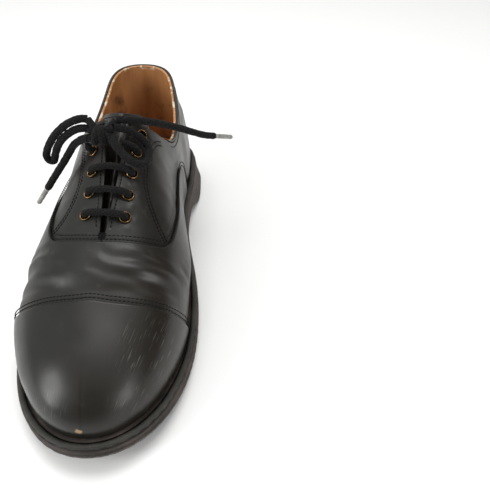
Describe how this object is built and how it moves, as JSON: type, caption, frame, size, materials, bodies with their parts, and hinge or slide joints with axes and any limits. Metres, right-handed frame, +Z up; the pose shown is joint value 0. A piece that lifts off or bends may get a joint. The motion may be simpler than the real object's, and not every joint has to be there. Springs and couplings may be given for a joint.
{
  "type": "leather oxford shoe",
  "caption": "Laced black leather cap-toe oxford shoe for the right foot, on a moulded rubber sole, with a tongue that pushes in as a foot enters.",
  "frame": {"origin": "on the ground at the middle of the footprint of the shoe without its free laces", "axes": "+Z up, toe towards -Y, medial (big toe) side towards +X"},
  "size_m": [0.1384, 0.3036, 0.1215],
  "materials": {
    "black_leather": "smooth box calf, semi-gloss, lightly worn",
    "tan_lining": "cognac lining leather, matt, chipped along the top edge",
    "textile": "cotton drill lining",
    "stiffener": "resin-stiffened felt",
    "rubber": "moulded, matt, fine ribs round the edge",
    "cork": "bonded cork sheet",
    "board": "fibre insole board",
    "steel": "cold-rolled strip",
    "brass": "antique brass, rubbed bright on the rims",
    "lace": "round braided cotton cord, waxed",
    "aglet": "heat-shrunk film, greyed"
  },
  "bodies": {
    "shoe": {"outsole": "rubber", "welt_bead": "rubber", "forepart_filler": "cork", "insole_board": "board", "sock_lining": "tan_lining", "steel_shank": "steel", "toe_cap": "black_leather", "toe_puff": "stiffener", "vamp": "black_leather", "vamp_lining": "textile", "quarter_medial": "black_leather", "quarter_lateral": "black_leather", "facing_lining_medial": "tan_lining", "facing_lining_lateral": "tan_lining", "quarter_lining": "tan_lining", "heel_counter": "stiffener", "topline_binding": "black_leather", "eyelet_medial_1": "brass", "eyelet_medial_2": "brass", "eyelet_medial_3": "brass", "eyelet_medial_4": "brass", "eyelet_medial_5": "brass", "eyelet_lateral_1": "brass", "eyelet_lateral_2": "brass", "eyelet_lateral_3": "brass", "eyelet_lateral_4": "brass", "eyelet_lateral_5": "brass", "lacing": "lace", "lace_knot": "lace", "lace_loop_left": "lace", "lace_loop_right": "lace", "lace_end_left": "lace", "lace_end_right": "lace", "aglet_left": "aglet", "aglet_right": "aglet"},
    "tongue": {"tongue": "black_leather", "tongue_lining": "textile"}
  },
  "joints": [
    {"name": "tongue_root", "type": "hinge", "parent": "shoe", "child": "tongue", "pos_m": [0.0047, -0.0757, 0.0575], "axis": [-1, 0, 0], "range_deg": [0, 12]}
  ]
}
